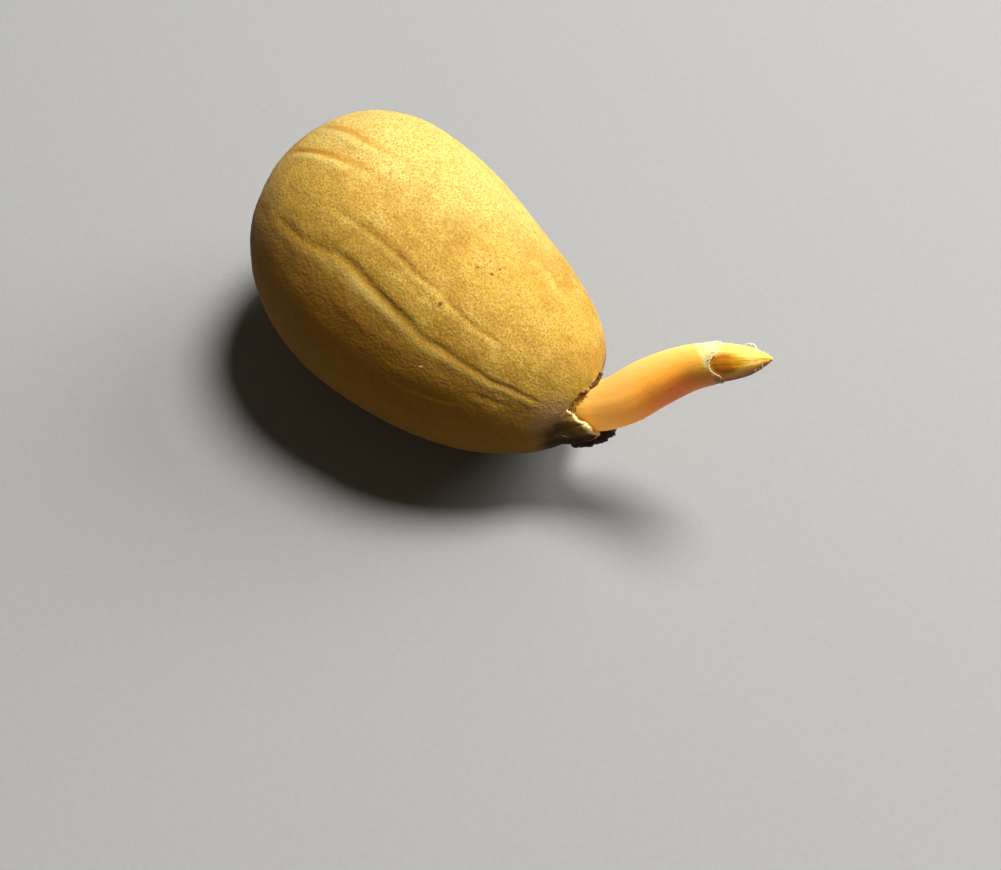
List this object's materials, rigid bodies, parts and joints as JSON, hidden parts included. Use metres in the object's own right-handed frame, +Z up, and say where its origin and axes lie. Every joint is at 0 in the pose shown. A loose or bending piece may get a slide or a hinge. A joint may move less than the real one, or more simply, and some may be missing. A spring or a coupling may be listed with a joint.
{
  "type": "germinated cycad seed",
  "caption": "Egg-shaped tan cycad seed lying on its side, split at the slim end where an orange root bends up to a yellow pointed tip.",
  "frame": {"origin": "middle of the small flat spot on the belly that the seed rests on", "axes": "+X along the seed towards the end where the root comes out, +Y to the left of the root, +Z up"},
  "size_m": [0.0558, 0.028, 0.026],
  "materials": {
    "seed_coat": "dry, finely pebbled tan seed coat with a dusty bloom",
    "inner_scale": "dark maroon papery inner coat",
    "root_skin": "smooth, slightly moist orange skin, pale at the torn collar",
    "tip_skin": "satin yellow with an amber-brown patch"
  },
  "bodies": {
    "root": {"seed_coat": "seed_coat", "inner_scale": "inner_scale", "root": "root_skin", "root_tip": "tip_skin"}
  },
  "joints": []
}
